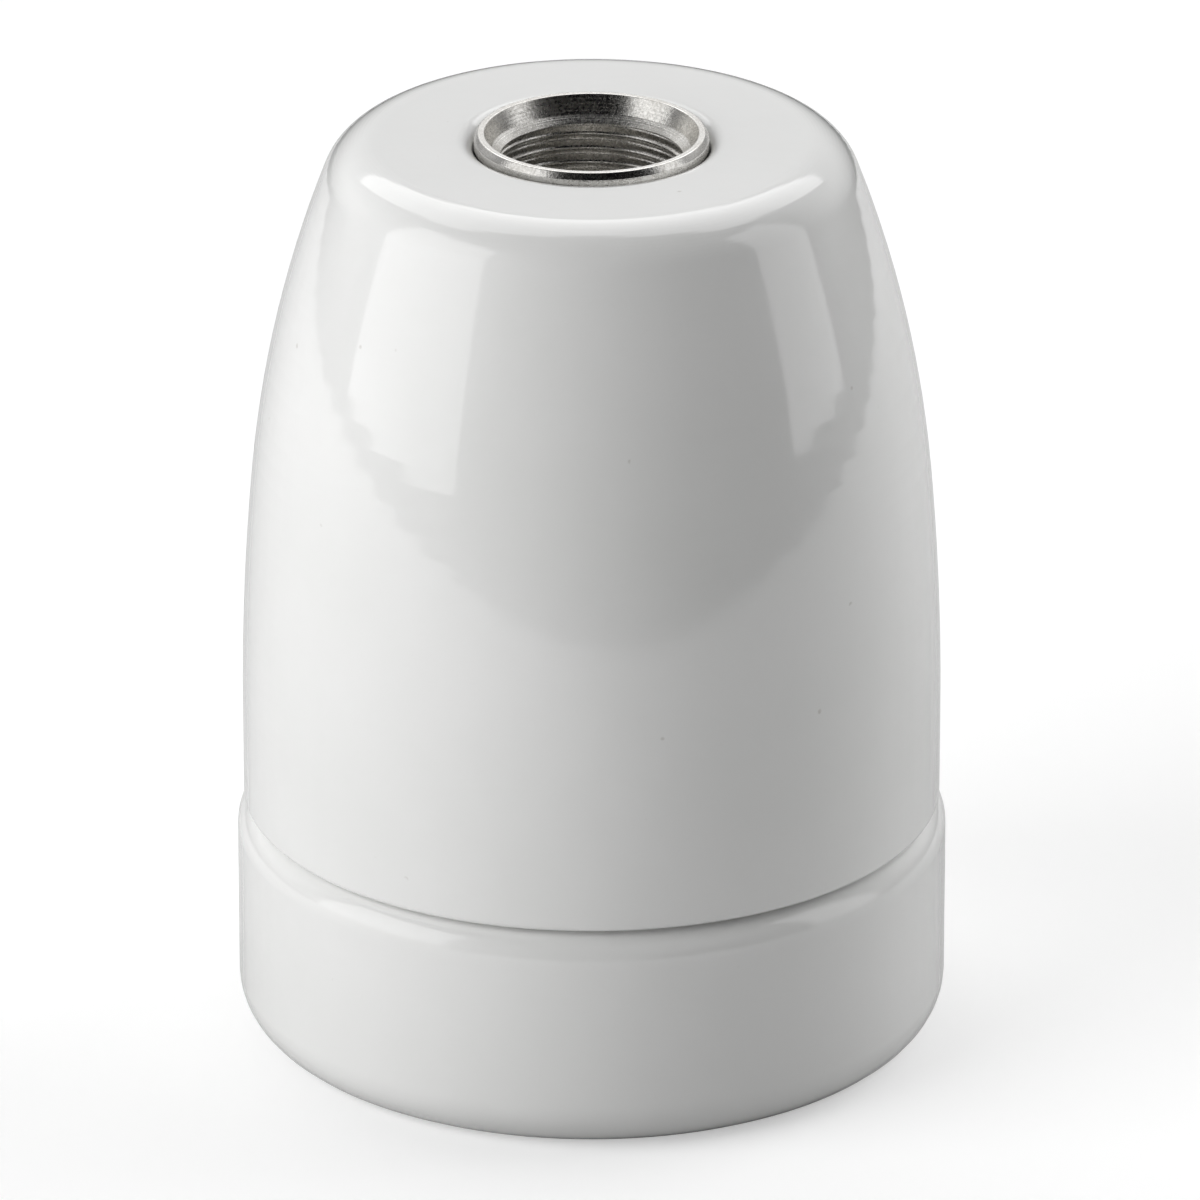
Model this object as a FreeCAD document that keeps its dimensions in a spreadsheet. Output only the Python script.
import FreeCAD, Part
import math
import os
import re

import Sketcher

# Two-part porcelain lamp holder for an E27 lamp, hung from an M13x1 tube.
# Frame: origin at the centre of the mouth's rim, +Z up the axis to the entry bush, millimetres.

SIZES = [
    # the porcelain ring, which is the lower part and has the mouth
    ("ring_diameter", 47.0),
    ("ring_height", 15.45),
    ("ring_foot_rounding", 3.2),
    ("ring_shoulder_rounding", 2.0),
    ("mouth_clearance", 1.02),
    ("mouth_height", 5.0),
    ("mouth_rounding", 2.0),
    ("bore_clearance", 1.27),
    ("neck_height", 10.5),
    ("neck_thread_diameter", 37.2),
    ("neck_thread_depth", 1.2),
    ("neck_thread_pitch", 4.0),
    ("thread_clearance", 0.3),
    # the porcelain dome, which is the upper part
    ("seam_gap", 0.3),
    ("dome_diameter", 46.14),
    ("dome_height", 46.15),
    ("dome_straight_height", 6.6),
    ("dome_middle_diameter", 44.58),
    ("dome_middle_height", 23.2),
    ("dome_top_diameter", 33.05),
    ("dome_shoulder_rounding", 3.6),
    ("dome_foot_rounding", 0.4),
    ("chamber_clearance", 0.6),
    ("cavity_diameter", 32.4),
    ("cavity_top_diameter", 28.0),
    ("cavity_taper_height", 10.4),
    ("cavity_rounding", 3.0),
    ("top_wall", 5.5),
    ("key_width", 3.0),
    ("key_depth", 1.8),
    ("key_height", 10.5),
    ("key_clearance", 0.3),
    ("entry_hole_clearance", 0.25),
    ("entry_lip_rounding", 0.8),
    ("hex_seat_depth", 1.0),
    ("fit_gap", 0.05),
    # the threaded entry bush and what it clamps
    ("bush_rim_lip", 0.36),
    ("bush_rim_stand", 0.5),
    ("bush_rim_height", 0.8),
    ("bush_rim_chamfer", 0.3),
    ("bush_wall", 0.8),
    ("bush_mouth_flare", 0.49),
    ("bush_mouth_depth", 1.2),
    ("entry_thread_diameter", 13.0),
    ("entry_thread_depth", 0.54),
    ("entry_lead_depth", 0.55),
    ("flange_across_flats", 19.0),
    ("flange_height", 4.4),
    ("hex_seat_clearance", 0.1),
    ("bush_neck_wall", 1.0),
    ("bush_neck_height", 4.7),
    ("toothed_washer_clearance", 0.2),
    ("toothed_washer_height", 0.6),
    ("washer_tooth_count", 12),
    ("washer_tooth_width", 1.5),
    ("washer_tooth_length", 1.1),
    ("earth_plate_diameter", 19.6),
    ("earth_plate_height", 1.2),
    ("earth_ear_width", 6.6),
    ("earth_ear_land", 2.1),
    ("earth_ear_rounding", 1.5),
    ("nut_across_flats", 17.0),
    ("nut_clearance", 0.1),
    ("nut_height", 2.6),
    ("nut_crown", 0.5),
    ("grub_screw_diameter", 3.0),
    ("grub_screw_standoff", 0.14),
    ("grub_screw_height", 1.7),
    ("grub_slot_width", 0.6),
    ("grub_slot_depth", 0.8),
    # the steatite insert between dome and ring
    ("insert_base_height", 4.0),
    ("tower_clearance", 0.6),
    ("tower_height", 10.0),
    ("tower_edge_rounding", 0.8),
    ("bay_width", 11.0),
    ("bay_depth", 6.0),
    ("barrier_drop", 2.0),
    ("screw_well_clearance", 0.4),
    ("screw_well_depth", 3.3),
    ("shell_recess_clearance", 0.47),
    ("shell_recess_depth", 2.0),
    # the rolled screw shell for the lamp's cap
    ("shell_length", 22.5),
    ("shell_wall", 0.35),
    ("shell_corner_rounding", 1.0),
    ("shell_hole_clearance", 0.24),
    ("lamp_thread_diameter", 26.56),
    ("lamp_thread_depth", 1.1),
    ("lamp_thread_pitch", 3.629),
    # the sprung centre contact
    ("leaf_width", 5.0),
    ("leaf_thickness", 0.4),
    ("leaf_pad_length", 3.6),
    ("leaf_drop", 3.0),
    ("leaf_tip_reach", 1.6),
    ("leaf_tip_length", 3.4),
    ("leaf_bend_rounding", 0.8),
    ("leaf_corner_rounding", 1.2),
    ("button_diameter", 4.0),
    ("button_height", 0.9),
    ("button_shank_diameter", 1.6),
    ("button_head_height", 0.5),
    ("button_edge_rounding", 0.5),
    # the terminals, their screws and the rivets
    ("plate_end_gap", 0.5),
    ("plate_inset", 1.5),
    ("plate_side_gap", 0.7),
    ("plate_height", 1.0),
    ("plate_corner_rounding", 0.8),
    ("clamp_length", 5.2),
    ("clamp_lip_clearance", 0.2),
    ("clamp_height", 0.8),
    ("clamp_lip_height", 0.9),
    ("clamp_lip_width", 0.6),
    ("screw_diameter", 3.4),
    ("screw_head_diameter", 5.0),
    ("screw_head_height", 1.8),
    ("screw_head_rounding", 0.7),
    ("screw_slot_width", 0.8),
    ("screw_slot_depth", 0.9),
    ("terminal_screw_end_gap", 0.5),
    ("live_clamp_gap", 0.7),
    ("neutral_clamp_gap", 0.4),
    ("barrier_gap", 0.6),
    ("earth_screw_reach", 2.2),
    ("rivet_diameter", 1.8),
    ("rivet_head_diameter", 2.6),
    ("rivet_head_height", 0.6),
    ("live_rivet_offset", 6.6),
    ("shell_rivet_inset", 1.98),
    ("rivet_well_clearance", 0.8),
    ("rivet_well_floor", 2.0),
    # how far a cut runs past the face that it opens
    ("overcut", 1.0),
]

ALIASES = {alias for alias, number in SIZES}

document = FreeCAD.newDocument("lamp_holder")
sheet = document.addObject("Spreadsheet::Sheet", "Sizes")
for row, (alias, number) in enumerate(SIZES, 1):
    sheet.set(f"A{row}", alias.replace("_", " "))
    sheet.set(f"B{row}", str(number))
    sheet.setAlias(f"B{row}", alias)
document.recompute()

# What fits round, in or on something else, worked out from that and a clearance, and the heights
# above the mouth's rim, each from the sizes that it rests on.
DERIVED = {
    "mouth_diameter": "lamp_thread_diameter + 2 * mouth_clearance",
    "shell_diameter": "lamp_thread_diameter + 2 * shell_wall",
    "ring_bore_diameter": "shell_diameter + 2 * bore_clearance",
    "shell_recess_diameter": "shell_diameter + 2 * shell_recess_clearance",
    "shell_rivet_offset": "lamp_thread_diameter / 2 - shell_rivet_inset",
    "shell_hole_diameter": "2 * (hypot(live_rivet_offset + leaf_pad_length / 2, leaf_width / 2)"
                           " + shell_hole_clearance)",
    "leaf_slope_length": "live_rivet_offset - leaf_pad_length / 2 - leaf_tip_reach",
    "chamber_diameter": "neck_thread_diameter + 2 * chamber_clearance",
    "insert_diameter": "neck_thread_diameter - 2 * neck_thread_depth",
    "tower_diameter": "cavity_diameter - 2 * tower_clearance",
    "bush_tube_diameter": "entry_thread_diameter + 2 * bush_wall",
    "bush_rim_diameter": "bush_tube_diameter + 2 * bush_rim_lip",
    "bush_mouth_diameter": "entry_thread_diameter + 2 * bush_mouth_flare",
    "bush_neck_diameter": "entry_thread_diameter + 2 * bush_neck_wall",
    "entry_bore_diameter": "entry_thread_diameter - 2 * entry_thread_depth",
    "entry_hole_diameter": "bush_tube_diameter + 2 * entry_hole_clearance",
    "grub_screw_length": "flange_across_flats / 2 - entry_bore_diameter / 2 - grub_screw_standoff",
    "clamp_width": "screw_head_diameter + 2 * (clamp_lip_width + clamp_lip_clearance)",
    "earth_screw_offset": "nut_across_flats / 2 + nut_clearance + max(clamp_length, screw_head_diameter) / 2",
    "earth_ear_reach": "earth_screw_offset + earth_ear_land",
    "toothed_washer_diameter": "2 * (earth_screw_offset - screw_diameter / 2 - toothed_washer_clearance)",
    "neutral_screw_offset": "shell_rivet_offset - rivet_head_diameter / 2 - neutral_clamp_gap"
                            " - clamp_length / 2",
    "live_screw_offset": "live_rivet_offset + rivet_head_diameter / 2 + live_clamp_gap + clamp_length / 2",
    "barrier_width": "2 * (neutral_screw_offset - clamp_length / 2 - barrier_gap)",
    "plate_inner": "barrier_width / 2 + plate_end_gap",
    "plate_length": "tower_diameter / 2 - plate_inset - plate_inner",
    "plate_width": "bay_width - 2 * plate_side_gap",
    "screw_well_diameter": "screw_diameter + 2 * screw_well_clearance",
    "rivet_well_diameter": "rivet_head_diameter + 2 * rivet_well_clearance",
    "terminal_screw_length": "clamp_height + plate_height + screw_well_depth - terminal_screw_end_gap",
    "earth_screw_length": "clamp_height + earth_plate_height + earth_screw_reach",
    "neck_top": "ring_height + neck_height",
    "insert_foot": "neck_top + fit_gap",
    "insert_step": "insert_foot + insert_base_height",
    "ledge": "insert_step + fit_gap",
    "tower_top": "insert_step + tower_height",
    "bay_floor": "tower_top - bay_depth",
    "plate_top": "bay_floor + plate_height",
    "shell_seat": "insert_foot + shell_recess_depth",
    "leaf_face": "shell_seat - leaf_drop - leaf_thickness",
    "dome_foot": "ring_height + seam_gap",
    "dome_top": "dome_foot + dome_height",
    "cavity_top": "dome_top - top_wall",
    "flange_top": "cavity_top + hex_seat_depth",
    "flange_foot": "flange_top - flange_height",
    "bush_foot": "flange_foot - bush_neck_height",
    "earth_plate_foot": "flange_foot - toothed_washer_height - earth_plate_height",
    "rim_top": "dome_top + bush_rim_stand",
    "screw_hole": "screw_diameter + 2 * fit_gap",
    "rivet_hole": "rivet_diameter + 2 * fit_gap",
}


def bound(formula):
    """The formula with derived values written out and every size tied to its cell of the sheet."""
    def swap(word):
        name = word[0]
        if name in DERIVED:
            return f"({bound(DERIVED[name])})"
        return f"Sizes.{name}" if name in ALIASES else name
    return re.sub("[a-z_]+", swap, formula)


def measure(formula):
    """The formula's value in millimetres."""
    return float(sheet.evalExpression(bound(formula).replace("Sizes.", "")))


def bind(thing, names, formulas):
    for name, formula in zip(names, formulas):
        thing.setExpression(name, bound(formula))


# ---- helpers for bodies, sketches and edges ----

def new_body(label):
    body = document.addObject("PartDesign::Body", label)
    body.Label = label
    return body


def attach(feature, body, role, offset):
    """Attaches a feature to one of its own body's origin planes, shifted by three formulas."""
    plane = next(datum for datum in body.Origin.OriginFeatures if datum.Role == role)
    feature.AttachmentSupport = [(plane, "")]
    feature.MapMode = "FlatFace"
    bind(feature, [f"AttachmentOffset.Base.{axis}" for axis in "xyz"], offset)


def add_primitive(body, kind, name, offset, role="XY_Plane", **sizes):
    """A PartDesign primitive, such as AdditiveBox, whose sizes are formulas."""
    feature = body.newObject(f"PartDesign::{kind}", name)
    attach(feature, body, role, offset)
    bind(feature, sizes.keys(), sizes.values())
    return feature


def arc_through(start, end, radius=None, direction=None):
    """An arc from start to end, with a signed radius or leaving along a direction, and its turn."""
    chord = end - start
    if direction:
        left = FreeCAD.Vector(-direction.y, direction.x, 0)
        radius = chord.dot(chord) / (2 * left.dot(chord))
        centre = start + left * radius
    else:
        across = FreeCAD.Vector(-chord.y, chord.x, 0) / chord.Length
        reach = math.sqrt(radius ** 2 - chord.Length ** 2 / 4)
        centre = (start + end) / 2 + across * math.copysign(reach, radius)
    ends = [start, end] if radius > 0 else [end, start]
    angles = [math.atan2(point.y - centre.y, point.x - centre.x) for point in ends]
    up = FreeCAD.Vector(0, 0, 1)
    arc = Part.ArcOfCircle(Part.Circle(centre, up, abs(radius)), *angles)
    spoke = (end - centre) / abs(radius)
    leaving = up.cross(spoke) * math.copysign(1, radius)
    return arc, radius > 0, leaving


def draw_outline(body, name, corners, role="XZ_Plane", arcs=(), offset=("0", "0", "0")):
    """A closed sketch through corners given as pairs of formulas.

    arcs names the sides that are arcs: side number to a signed radius, or to "tangent".
    """
    sketch = body.newObject("Sketcher::SketchObject", name)
    attach(sketch, body, role, offset)
    arcs = dict(arcs)
    points = [FreeCAD.Vector(measure(across), measure(up), 0) for across, up in corners]
    ends = []
    direction = None
    for side, start in enumerate(points):
        end = points[(side + 1) % len(points)]
        turn = arcs.get(side)
        if turn is None:
            direction = (end - start).normalize()
            index = sketch.addGeometry(Part.LineSegment(start, end), False)
            ends.append((index, 1, 2))
            continue
        radius = None if turn == "tangent" else measure(turn)
        arc, forwards, direction = arc_through(start, end, radius, direction if turn == "tangent" else None)
        index = sketch.addGeometry(arc, False)
        ends.append((index, 1, 2) if forwards else (index, 2, 1))
    for side, (index, first, last) in enumerate(ends):
        next_index, next_first, next_last = ends[(side + 1) % len(ends)]
        kind = "Tangent" if arcs.get((side + 1) % len(ends)) == "tangent" else "Coincident"
        sketch.addConstraint(Sketcher.Constraint(kind, index, last, next_index, next_first))
    for side, (index, first, last) in enumerate(ends):
        for kind, formula, value in zip(("DistanceX", "DistanceY"), corners[side], points[side]):
            row = sketch.addConstraint(Sketcher.Constraint(kind, -1, 1, index, first, value))
            sketch.setExpression(f"Constraints[{row}]", bound(formula))
        if arcs.get(side, "tangent") != "tangent":
            radius = sketch.Geometry[index].Radius
            row = sketch.addConstraint(Sketcher.Constraint("Radius", index, radius))
            sketch.setExpression(f"Constraints[{row}]", bound(f"abs({arcs[side]})"))
    return sketch


def turn_solid(body, name, corners, arcs=(), kind="Revolution"):
    """Turns an outline of (radius, height) corners round the body's Z axis."""
    sketch = draw_outline(body, name + "_outline", corners, arcs=arcs)
    feature = body.newObject(f"PartDesign::{kind}", name)
    feature.Profile = sketch
    feature.ReferenceAxis = (sketch, ["V_Axis"])
    feature.Angle = 360
    document.recompute()
    return feature


def circle_edges(feature, radius, height):
    """Names of the feature's full circles of this radius about the Z axis at this height."""
    names = []
    for number, edge in enumerate(feature.Shape.Edges, 1):
        curve = edge.Curve
        if isinstance(curve, Part.Circle) and abs(curve.Radius - measure(radius)) < 0.001:
            if abs(curve.Center.z - measure(height)) < 0.001 and math.hypot(*curve.Center[:2]) < 0.001:
                names.append(f"Edge{number}")
    return names


def line_edges(feature, axis, accept):
    """Names of the feature's straight edges along an axis whose middles are accepted."""
    names = []
    for number, edge in enumerate(feature.Shape.Edges, 1):
        if isinstance(edge.Curve, Part.Line) and abs(abs(edge.Curve.Direction.dot(axis)) - 1) < 0.001:
            if accept(edge.CenterOfMass):
                names.append(f"Edge{number}")
    return names


def ease_edges(body, name, feature, edges, size, kind="Fillet"):
    """Fillets or chamfers named edges of the body's last feature."""
    if not edges:
        raise ValueError(f"{name} finds no edge")
    easing = body.newObject(f"PartDesign::{kind}", name)
    easing.Base = (feature, edges)
    bind(easing, ["Radius" if kind == "Fillet" else "Size"], [size])
    document.recompute()
    return easing


def repeat_round(body, name, feature, occurrences):
    """Repeats a feature round the body's Z axis."""
    pattern = body.newObject("PartDesign::PolarPattern", name)
    pattern.Originals = [feature]
    axis = next(datum for datum in body.Origin.OriginFeatures if datum.Role == "Z_Axis")
    pattern.Axis = (axis, [""])
    pattern.Angle = 360
    bind(pattern, ["Occurrences"], [occurrences])
    body.Tip = pattern
    document.recompute()
    return pattern


# ---- round threads, as solids with a waved wall ----

AROUND = 32
STEPS_PER_PITCH = 12
DEGREE = 3
Z_AXIS = FreeCAD.Vector(0, 0, 1)


def round_form(phase, pitch, depth, offset=0.0):
    """Height of a round thread above its root: arcs of one radius, crest and root by turns.

    phase counts pitches from a crest. offset moves the outline outwards by a wall, square to it.
    """
    radius = (pitch ** 2 / 16 + depth ** 2 / 4) / depth
    from_crest = abs((phase + 0.5) % 1.0 - 0.5) * pitch
    if from_crest <= pitch / 4 * (radius + offset) / radius:
        return depth - radius + math.sqrt((radius + offset) ** 2 - from_crest ** 2)
    return radius - math.sqrt((radius - offset) ** 2 - (pitch / 2 - from_crest) ** 2)


def faded(height, low, high, length):
    """0 at both ends of a thread and 1 along it, with smooth ends of a given length."""
    near = max(0.0, min(1.0, (height - low) / length, (high - height) / length))
    return near * near * (3 - 2 * near)


def waved_solid(name, low, high, radius_at):
    """A closed solid of revolution whose wall radius is radius_at(turn, height)."""
    spans = max(2 * DEGREE, round((high - low) / measure("lamp_thread_pitch") * STEPS_PER_PITCH))
    rows = spans + DEGREE
    long_knots = [float(knot) for knot in range(spans + 1)]
    knots = [0.0] * DEGREE + long_knots + [float(spans)] * DEGREE
    shares = [sum(knots[row + 1:row + 1 + DEGREE]) / DEGREE / spans for row in range(rows)]
    heights = [low + (high - low) * share for share in shares]
    swell = 3 / (2 + math.cos(2 * math.pi / AROUND))
    poles = []
    for step in range(AROUND):
        angle = 2 * math.pi * step / AROUND
        radii = [radius_at(step / AROUND, height) * swell for height in heights]
        poles.append([FreeCAD.Vector(r * math.cos(angle), r * math.sin(angle), z)
                      for r, z in zip(radii, heights)])
    wall = Part.BSplineSurface()
    round_knots = [float(step) for step in range(AROUND + 1)]
    ends = [DEGREE + 1] + [1] * (spans - 1) + [DEGREE + 1]
    wall.buildFromPolesMultsKnots(poles, [1] * (AROUND + 1), ends, round_knots, long_knots,
                                  True, False, DEGREE, DEGREE)
    side = wall.toShape()
    faces = [side]
    for height in (low, high):
        rim = next(edge for edge in side.Edges
                   if all(abs(edge.valueAt(at).z - height) < 1e-6 for at in edge.ParameterRange))
        faces.append(Part.Face(Part.Wire([rim])))
    shell = Part.makeShell(faces)
    shell.sewShape()
    solid = Part.makeSolid(shell)
    if solid.Volume < 0:
        solid.reverse()
    feature = document.addObject("Part::Feature", name)
    feature.Shape = solid
    feature.Placement = FreeCAD.Placement()
    return feature


def neck_thread():
    """The ring's male thread, as a plug from inside the ring to the neck's top."""
    low, high = measure("ring_height - overcut"), measure("neck_top")
    start = measure("ring_height")
    pitch, depth = measure("neck_thread_pitch"), measure("neck_thread_depth")
    root = measure("neck_thread_diameter / 2") - depth

    def radius_at(turn, height):
        full = faded(height, start, high, pitch / 2)
        return root + full * round_form(height / pitch - turn, pitch, depth)
    return waved_solid("neck_thread", low, high, radius_at)


def dome_thread():
    """The hollow of the dome's female thread, which clears the neck all round."""
    low, high = measure("dome_foot - overcut"), measure("neck_top + fit_gap")
    start = measure("dome_foot")
    pitch, depth = measure("neck_thread_pitch"), measure("neck_thread_depth")
    root = measure("neck_thread_diameter / 2 + thread_clearance") - depth

    def radius_at(turn, height):
        full = faded(height, start, high, pitch / 2)
        form = round_form(height / pitch - turn, pitch, depth)
        return root + depth + full * (form - depth)
    return waved_solid("dome_thread", low, high, radius_at)


def lamp_thread(name, wall):
    """One face of the rolled screw shell: its inside, or its outside for a wall's thickness."""
    low = measure("shell_seat - shell_length") - (0 if wall else measure("overcut"))
    high = measure("shell_seat") - (0 if wall else measure("shell_wall"))
    start, finish = measure("shell_seat - shell_length"), measure("shell_seat")
    pitch, depth = measure("lamp_thread_pitch"), measure("lamp_thread_depth")
    root = measure("lamp_thread_diameter / 2") - depth
    corner = measure("shell_corner_rounding") - (0 if wall else measure("shell_wall"))

    def radius_at(turn, height):
        full = faded(height, start, finish, pitch / 2)
        form = round_form(height / pitch - turn, pitch, depth, wall)
        into = min(corner, max(0.0, height - high + corner))
        drawn_in = corner - math.sqrt(corner ** 2 - into ** 2)
        return root + depth + wall + full * (form - depth - wall) - drawn_in
    return waved_solid(name, low, high, radius_at)


# ---- the porcelain ring ----

def make_ring():
    blank = new_body("ring_blank")
    rim = "ring_diameter / 2"
    solid = turn_solid(blank, "ring_turned", [
        ("0", "0"),
        (rim, "0"),
        (rim, "ring_height"),
        ("0", "ring_height"),
    ])
    solid = ease_edges(blank, "ring_foot", solid, circle_edges(solid, rim, "0"), "ring_foot_rounding")
    ease_edges(blank, "ring_shoulder", solid, circle_edges(solid, rim, "ring_height"), "ring_shoulder_rounding")
    bore = new_body("ring_bore")
    lip = "mouth_diameter / 2 + mouth_rounding"
    turn_solid(bore, "bore_turned", [
        ("0", "-overcut"),
        (lip, "-overcut"),
        (lip, "0"),
        ("mouth_diameter / 2", "mouth_rounding"),
        ("mouth_diameter / 2", "mouth_height"),
        ("ring_bore_diameter / 2", "mouth_height + (ring_bore_diameter - mouth_diameter) / 2"),
        ("ring_bore_diameter / 2", "neck_top + overcut"),
        ("0", "neck_top + overcut"),
    ], arcs={2: "-mouth_rounding"})
    with_neck = document.addObject("Part::Fuse", "ring_with_neck")
    with_neck.Base = blank
    with_neck.Tool = neck_thread()
    ring = document.addObject("Part::Cut", "shell_ring")
    ring.Base = with_neck
    ring.Tool = bore
    return ring


# ---- the porcelain dome ----

def make_dome():
    blank = new_body("dome_blank")
    side, top = "dome_diameter / 2", "dome_top_diameter / 2"
    solid = turn_solid(blank, "dome_turned", [
        ("0", "dome_foot"),
        (side, "dome_foot"),
        (side, "dome_foot + dome_straight_height"),
        ("dome_middle_diameter / 2", "dome_foot + dome_middle_height"),
        (top, "dome_top"),
        ("0", "dome_top"),
    ], arcs={2: "tangent", 3: "tangent"})
    solid = ease_edges(blank, "dome_shoulder", solid, circle_edges(solid, top, "dome_top"), "dome_shoulder_rounding")
    solid = ease_edges(blank, "dome_foot_edge", solid, circle_edges(solid, side, "dome_foot"), "dome_foot_rounding")
    solid = turn_solid(blank, "dome_cavity", [
        ("0", "neck_top - overcut"),
        ("chamber_diameter / 2", "neck_top - overcut"),
        ("chamber_diameter / 2", "ledge"),
        ("cavity_diameter / 2", "ledge"),
        ("cavity_diameter / 2", "cavity_top - cavity_taper_height"),
        ("cavity_top_diameter / 2", "cavity_top"),
        ("0", "cavity_top"),
    ], kind="Groove")
    roof = circle_edges(solid, "cavity_top_diameter / 2", "cavity_top")
    ease_edges(blank, "cavity_corner", solid, roof, "cavity_rounding")
    add_primitive(blank, "SubtractivePrism", "hex_seat", ("0", "0", "cavity_top - overcut"),
                  Circumradius="(flange_across_flats / 2 + hex_seat_clearance) / cos(30)",
                  Height="hex_seat_depth + overcut")
    solid = add_primitive(blank, "SubtractiveCylinder", "entry_hole", ("0", "0", "cavity_top"),
                          Radius="entry_hole_diameter / 2", Height="top_wall + overcut")
    document.recompute()
    lip = circle_edges(solid, "entry_hole_diameter / 2", "dome_top")
    ease_edges(blank, "entry_lip", solid, lip, "entry_lip_rounding")
    key = add_primitive(blank, "AdditiveBox", "key",
                        ("-key_width / 2", "cavity_diameter / 2 - key_depth", "ledge"),
                        Length="key_width", Width="key_depth + overcut", Height="key_height")
    document.recompute()
    repeat_round(blank, "keys", key, "2")
    dome = document.addObject("Part::Cut", "dome")
    dome.Base = blank
    dome.Tool = dome_thread()
    return dome


# ---- the entry bush and what it clamps ----

def make_entry_bush():
    body = new_body("entry_bush")
    rim, tube = "bush_rim_diameter / 2", "bush_tube_diameter / 2"
    bore, root = "entry_bore_diameter / 2", "entry_thread_diameter / 2"
    turn_solid(body, "bush_turned", [
        ("bush_mouth_diameter / 2", "rim_top"),
        (rim + " - bush_rim_chamfer", "rim_top"),
        (rim, "rim_top - bush_rim_chamfer"),
        (rim, "rim_top - bush_rim_height"),
        (tube, f"rim_top - bush_rim_height - ({rim} - {tube})"),
        (tube, "flange_foot"),
        ("bush_neck_diameter / 2", "flange_foot"),
        ("bush_neck_diameter / 2", "bush_foot"),
        (root, "bush_foot"),
        (bore, "bush_foot + entry_lead_depth"),
        (bore, "rim_top - bush_mouth_depth - entry_lead_depth"),
        (root, "rim_top - bush_mouth_depth"),
    ])
    add_primitive(body, "AdditivePrism", "flange", ("0", "0", "flange_foot"),
                  Circumradius="flange_across_flats / 2 / cos(30)", Height="flange_height")
    add_primitive(body, "SubtractiveCylinder", "flange_bore", ("0", "0", "flange_foot"),
                  Radius=bore, Height="flange_height")
    add_primitive(body, "SubtractiveCylinder", "grub_hole", ("0", "flange_foot + grub_screw_height", "0"),
                  role="XZ_Plane", Radius="grub_screw_diameter / 2 + fit_gap", Height="flange_across_flats")
    return body


def make_grub_screw():
    """The locking screw that bears on the tube, in the front flat of the flange."""
    body = new_body("grub_screw")
    height = "flange_foot + grub_screw_height"
    add_primitive(body, "AdditiveCylinder", "grub_shank",
                  ("0", height, "flange_across_flats / 2 - grub_screw_length"),
                  role="XZ_Plane", Radius="grub_screw_diameter / 2", Height="grub_screw_length")
    add_primitive(body, "SubtractiveBox", "grub_slot",
                  ("-grub_screw_diameter / 2 - overcut", f"{height} - grub_slot_width / 2",
                   "flange_across_flats / 2 - grub_slot_depth"),
                  role="XZ_Plane", Length="grub_screw_diameter + 2 * overcut", Width="grub_slot_width",
                  Height="grub_slot_depth + overcut")
    return body


def bore_out(body, foot):
    """The hole with which a flat piece goes round the bush's neck."""
    add_primitive(body, "SubtractiveCylinder", body.Label + "_hole", ("0", "0", f"{foot} - overcut"),
                  Radius="bush_neck_diameter / 2 + fit_gap", Height="bush_neck_height + overcut")


def make_toothed_washer():
    body = new_body("toothed_washer")
    foot = "flange_foot - toothed_washer_height"
    land = "toothed_washer_diameter / 2 - washer_tooth_length"
    add_primitive(body, "AdditiveCylinder", "washer_land", ("0", "0", foot),
                  Radius=land, Height="toothed_washer_height")
    tooth = add_primitive(body, "AdditiveBox", "washer_tooth",
                          (f"{land} - washer_tooth_length", "-washer_tooth_width / 2", foot),
                          Length="2 * washer_tooth_length", Width="washer_tooth_width",
                          Height="toothed_washer_height")
    document.recompute()
    repeat_round(body, "washer_teeth", tooth, "washer_tooth_count")
    bore_out(body, foot)
    return body


def make_earth_plate():
    body = new_body("earth_plate")
    foot = "earth_plate_foot"
    add_primitive(body, "AdditiveCylinder", "plate_disc", ("0", "0", foot),
                  Radius="earth_plate_diameter / 2", Height="earth_plate_height")
    ear = add_primitive(body, "AdditiveBox", "plate_ear", ("-earth_ear_width / 2", "0", foot),
                        Length="earth_ear_width", Width="earth_ear_reach", Height="earth_plate_height")
    document.recompute()
    reach = measure("earth_ear_reach")
    corners = line_edges(ear, Z_AXIS, lambda middle: abs(middle.y - reach) < 0.001)
    ease_edges(body, "ear_corners", ear, corners, "earth_ear_rounding")
    bore_out(body, foot)
    add_primitive(body, "SubtractiveCylinder", "earth_screw_hole",
                  ("0", "earth_screw_offset", f"{foot} - overcut"),
                  Radius="screw_hole / 2", Height="earth_plate_height + 2 * overcut")
    return body


def make_lock_nut():
    body = new_body("bush_lock_nut")
    foot = "earth_plate_foot - nut_height"
    flat, corner = "nut_across_flats / 2", "(nut_across_flats / 2 / cos(30) + overcut)"
    add_primitive(body, "AdditivePrism", "nut_prism", ("0", "0", foot),
                  Circumradius="nut_across_flats / 2 / cos(30)", Height="nut_height")
    turn_solid(body, "nut_crown_cut", [
        (flat, foot),
        (corner, foot),
        (corner, f"{foot} + nut_crown"),
    ], kind="Groove")
    bore_out(body, foot)
    return body


# ---- screws, clamps and rivets ----

def set_down(body, place, head_down):
    """Puts a piece at its place, and turns its top down and a quarter round if it hangs."""
    if head_down:
        body.Placement = FreeCAD.Placement(FreeCAD.Vector(), FreeCAD.Rotation(FreeCAD.Vector(1, 1, 0), 180))
    bind(body, [f"Placement.Base.{axis}" for axis in "xyz"], place)


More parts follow.
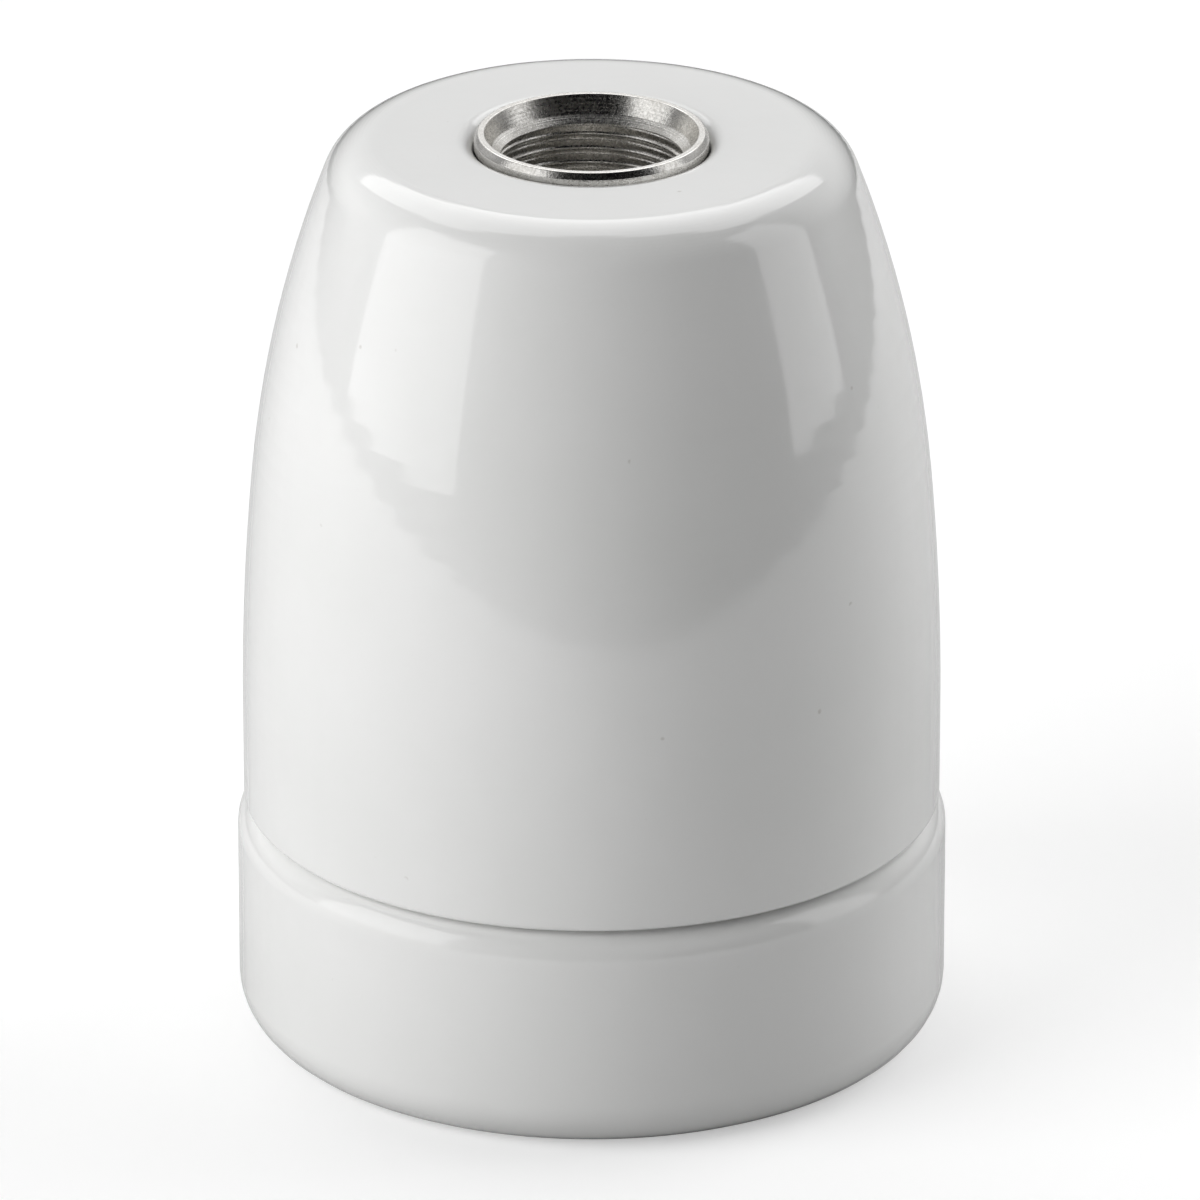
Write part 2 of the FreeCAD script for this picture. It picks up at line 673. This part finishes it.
def make_screw(label, length, place, head_down=False):
    """A slotted pan-head screw whose head sits at its place."""
    body = new_body(label)
    shank, head = "screw_diameter / 2", "screw_head_diameter / 2"
    solid = turn_solid(body, label + "_turned", [
        ("0", f"-{length}"),
        (shank, f"-{length}"),
        (shank, "0"),
        (head, "0"),
        (head, "screw_head_height"),
        ("0", "screw_head_height"),
    ])
    crown = circle_edges(solid, head, "screw_head_height")
    ease_edges(body, label + "_crown", solid, crown, "screw_head_rounding")
    add_primitive(body, "SubtractiveBox", label + "_slot",
                  (f"-{head} - overcut", "-screw_slot_width / 2", "screw_head_height - screw_slot_depth"),
                  Length="screw_head_diameter + 2 * overcut", Width="screw_slot_width",
                  Height="screw_slot_depth + overcut")
    set_down(body, place, head_down)
    return body


def make_clamp(label, place, head_down=False):
    """A square clamp plate under a screw's head, with a turned-up lip on two sides."""
    body = new_body(label)
    add_primitive(body, "AdditiveBox", label + "_plate", ("-clamp_length / 2", "-clamp_width / 2", "0"),
                  Length="clamp_length", Width="clamp_width", Height="clamp_height")
    for number, edge in enumerate(("-clamp_width / 2", "clamp_width / 2 - clamp_lip_width"), 1):
        add_primitive(body, "AdditiveBox", f"{label}_lip_{number}", ("-clamp_length / 2", edge, "0"),
                      Length="clamp_length", Width="clamp_lip_width", Height="clamp_height + clamp_lip_height")
    add_primitive(body, "SubtractiveCylinder", label + "_hole", ("0", "0", "-overcut"),
                  Radius="screw_hole / 2", Height="clamp_height + 2 * overcut")
    set_down(body, place, head_down)
    return body


def make_rivet(label, across, along, foot, top):
    """A rivet through everything between two levels, with a low head at each end."""
    body = new_body(label)
    shank, head = "rivet_diameter / 2", "rivet_head_diameter / 2"
    turn_solid(body, label + "_turned", [
        ("0", f"{foot} - rivet_head_height"),
        (head, f"{foot} - rivet_head_height"),
        (head, foot),
        (shank, foot),
        (shank, top),
        (head, top),
        (head, f"{top} + rivet_head_height"),
        ("0", f"{top} + rivet_head_height"),
    ])
    bind(body, ["Placement.Base.x", "Placement.Base.y"], [across, along])
    return body


# ---- the steatite insert ----

def make_insert():
    body = new_body("insert_block")
    recess, base, tower = "shell_recess_diameter / 2", "insert_diameter / 2", "tower_diameter / 2"
    solid = turn_solid(body, "insert_pressed", [
        ("0", "shell_seat"),
        (recess, "shell_seat"),
        (recess, "insert_foot"),
        (base, "insert_foot"),
        (base, "insert_step"),
        (tower, "insert_step"),
        (tower, "tower_top"),
        ("0", "tower_top"),
    ])
    ease_edges(body, "tower_edge", solid, circle_edges(solid, tower, "tower_top"), "tower_edge_rounding")
    bay = add_primitive(body, "SubtractiveBox", "bay", ("barrier_width / 2", "-bay_width / 2", "bay_floor"),
                        Length=tower, Width="bay_width", Height="bay_depth + overcut")
    document.recompute()
    repeat_round(body, "bays", bay, "2")
    add_primitive(body, "SubtractiveBox", "barrier_gap", ("-barrier_width / 2 - overcut", "-bay_width / 2",
                                                          "tower_top - barrier_drop"),
                  Length="barrier_width + 2 * overcut", Width="bay_width", Height="barrier_drop + overcut")
    slot = add_primitive(body, "SubtractiveBox", "key_slot",
                         ("-key_width / 2 - key_clearance", "cavity_diameter / 2 - key_depth - key_clearance",
                          "insert_step"),
                         Length="key_width + 2 * key_clearance", Width=tower, Height="tower_height + overcut")
    document.recompute()
    repeat_round(body, "key_slots", slot, "2")
    well = add_primitive(body, "SubtractiveCylinder", "rivet_well", ("0", "shell_rivet_offset",
                                                                     "shell_seat + rivet_well_floor"),
                         Radius="rivet_well_diameter / 2", Height="tower_height + insert_base_height")
    document.recompute()
    repeat_round(body, "rivet_wells", well, "2")
    hole = add_primitive(body, "SubtractiveCylinder", "shell_rivet_hole",
                         ("0", "shell_rivet_offset", "insert_foot"),
                         Radius="rivet_hole / 2", Height="tower_height")
    document.recompute()
    repeat_round(body, "shell_rivet_holes", hole, "2")
    for name, across in (("live", "live_rivet_offset"), ("neutral", "-shell_rivet_offset")):
        add_primitive(body, "SubtractiveCylinder", name + "_rivet_hole", (across, "0", "insert_foot"),
                      Radius="rivet_hole / 2", Height="tower_height + insert_base_height")
    for name, across in (("live", "live_screw_offset"), ("neutral", "-neutral_screw_offset")):
        add_primitive(body, "SubtractiveCylinder", name + "_screw_well", (across, "0",
                                                                          "bay_floor - screw_well_depth"),
                      Radius="screw_well_diameter / 2", Height="screw_well_depth + overcut")
    return body


def make_terminal_plate(label, side, screw, rivet):
    """A flat brass terminal in its bay; side is 1 for the live bay and -1 for the neutral one."""
    body = new_body(label)
    plate = add_primitive(body, "AdditiveBox", label + "_blank",
                          (f"{side} * (plate_inner + plate_length / 2) - plate_length / 2",
                           "-plate_width / 2", "bay_floor"),
                          Length="plate_length", Width="plate_width", Height="plate_height")
    document.recompute()
    ease_edges(body, label + "_corners", plate, line_edges(plate, Z_AXIS, lambda middle: True),
               "plate_corner_rounding")
    for name, across, hole in (("screw", screw, "screw_hole"), ("rivet", rivet, "rivet_hole")):
        add_primitive(body, "SubtractiveCylinder", f"{label}_{name}_hole", (across, "0", "bay_floor - overcut"),
                      Radius=f"{hole} / 2", Height="plate_height + 2 * overcut")
    return body


# ---- the screw shell and the centre contact ----

def make_screw_shell():
    outside = lamp_thread("shell_outside", measure("shell_wall"))
    tools = [lamp_thread("shell_inside", 0.0)]
    holes = [("shell_hole", "0", "0", "shell_hole_diameter / 2"),
             ("neutral_hole", "-shell_rivet_offset", "0", "rivet_hole / 2"),
             ("front_hole", "0", "-shell_rivet_offset", "rivet_hole / 2"),
             ("back_hole", "0", "shell_rivet_offset", "rivet_hole / 2")]
    for name, across, along, radius in holes:
        tool = document.addObject("Part::Cylinder", name)
        bind(tool, ["Radius", "Height"], [radius, "4 * shell_wall"])
        bind(tool, [f"Placement.Base.{axis}" for axis in "xyz"], (across, along, "shell_seat - 2 * shell_wall"))
        tools.append(tool)
    cut_away = document.addObject("Part::MultiFuse", "shell_cut_away")
    cut_away.Shapes = tools
    shell = document.addObject("Part::Cut", "screw_shell")
    shell.Base = outside
    shell.Tool = cut_away
    return shell


def make_contact_leaf():
    """The bronze leaf: a pad under the insert, a slope down and a flat tip that carries the button."""
    body = new_body("contact_leaf")
    pad_end = "live_rivet_offset + leaf_pad_length / 2"
    pad_bend = "live_rivet_offset - leaf_pad_length / 2"
    tip_bend = f"{pad_bend} - leaf_slope_length"
    tip_end = f"{tip_bend} - leaf_tip_length"
    shift = "leaf_thickness * tan(atan(leaf_drop / leaf_slope_length) / 2)"
    sketch = draw_outline(body, "leaf_outline", [
        (pad_end, "shell_seat"),
        (pad_bend, "shell_seat"),
        (tip_bend, "shell_seat - leaf_drop"),
        (tip_end, "shell_seat - leaf_drop"),
        (tip_end, "leaf_face"),
        (f"{tip_bend} + {shift}", "leaf_face"),
        (f"{pad_bend} + {shift}", "shell_seat - leaf_thickness"),
        (pad_end, "shell_seat - leaf_thickness"),
    ])
    leaf = body.newObject("PartDesign::Pad", "leaf_strip")
    leaf.Profile = sketch
    leaf.Midplane = True
    bind(leaf, ["Length"], ["leaf_width"])
    document.recompute()
    low, high = measure(tip_bend) - 0.001, measure(f"{pad_bend} + {shift}") + 0.001
    bends = line_edges(leaf, FreeCAD.Vector(0, 1, 0), lambda middle: low < middle.x < high)
    leaf = ease_edges(body, "leaf_bends", leaf, bends, "leaf_bend_rounding")
    corners = line_edges(leaf, Z_AXIS, lambda middle: True)
    ease_edges(body, "leaf_corners", leaf, corners, "leaf_corner_rounding")
    for name, across, hole in (("rivet", "live_rivet_offset", "rivet_hole / 2"),
                               ("button", "0", "button_shank_diameter / 2 + fit_gap")):
        add_primitive(body, "SubtractiveCylinder", f"leaf_{name}_hole", (across, "0", "leaf_face - overcut"),
                      Radius=hole, Height="leaf_drop + leaf_thickness + 2 * overcut")
    return body


def make_contact_button():
    body = new_body("contact_button")
    face, shank = "button_diameter / 2", "button_shank_diameter / 2"
    head = "(rivet_head_diameter / 2)"
    back = "shell_seat - leaf_drop"
    solid = turn_solid(body, "button_turned", [
        ("0", "leaf_face - button_height"),
        (face, "leaf_face - button_height"),
        (face, "leaf_face"),
        (shank, "leaf_face"),
        (shank, back),
        (head, back),
        (head, f"{back} + button_head_height"),
        ("0", f"{back} + button_head_height"),
    ])
    edge = circle_edges(solid, face, "leaf_face - button_height")
    ease_edges(body, "button_edge", solid, edge, "button_edge_rounding")
    return body


# ---- the whole holder ----

def make_all():
    head_seat = "plate_top + clamp_height"
    earth_seat = "earth_plate_foot - clamp_height"
    shell_foot = "shell_seat - shell_wall"
    return [
        make_ring(),
        make_dome(),
        make_entry_bush(),
        make_grub_screw(),
        make_toothed_washer(),
        make_earth_plate(),
        make_lock_nut(),
        make_clamp("earth_clamp", ("0", "earth_screw_offset", "earth_plate_foot"), head_down=True),
        make_screw("earth_screw", "earth_screw_length", ("0", "earth_screw_offset", earth_seat), head_down=True),
        make_insert(),
        make_terminal_plate("live_plate", 1, "live_screw_offset", "live_rivet_offset"),
        make_terminal_plate("neutral_plate", -1, "-neutral_screw_offset", "-shell_rivet_offset"),
        make_clamp("live_clamp", ("live_screw_offset", "0", "plate_top")),
        make_clamp("neutral_clamp", ("-neutral_screw_offset", "0", "plate_top")),
        make_screw("live_screw", "terminal_screw_length", ("live_screw_offset", "0", head_seat)),
        make_screw("neutral_screw", "terminal_screw_length", ("-neutral_screw_offset", "0", head_seat)),
        make_rivet("live_rivet", "live_rivet_offset", "0", "shell_seat - leaf_thickness", "plate_top"),
        make_rivet("neutral_rivet", "-shell_rivet_offset", "0", shell_foot, "plate_top"),
        make_rivet("shell_rivet_front", "0", "-shell_rivet_offset", shell_foot, "shell_seat + rivet_well_floor"),
        make_rivet("shell_rivet_back", "0", "shell_rivet_offset", shell_foot, "shell_seat + rivet_well_floor"),
        make_screw_shell(),
        make_contact_leaf(),
        make_contact_button(),
    ]


def check(nodes):
    """Stops before anything is written if an object failed or a piece isn't one sound solid."""
    for thing in document.Objects:
        if {"Invalid", "Error"} & set(thing.State):
            raise RuntimeError(f"{thing.Name} failed: {thing.State}")
    for node in nodes:
        shape = node.Shape
        if shape.isNull() or not shape.isValid() or len(shape.Solids) != 1 or shape.Volume <= 0:
            raise RuntimeError(f"{node.Label} is not one sound solid")


def main():
    nodes = make_all()
    document.recompute()
    check(nodes)
    os.makedirs("parts", exist_ok=True)
    for node in nodes:
        node.Shape.exportStep(f"parts/{node.Label}.step")
        print(f"{node.Label:20s} {node.Shape.Volume:10.1f} mm3")


main()
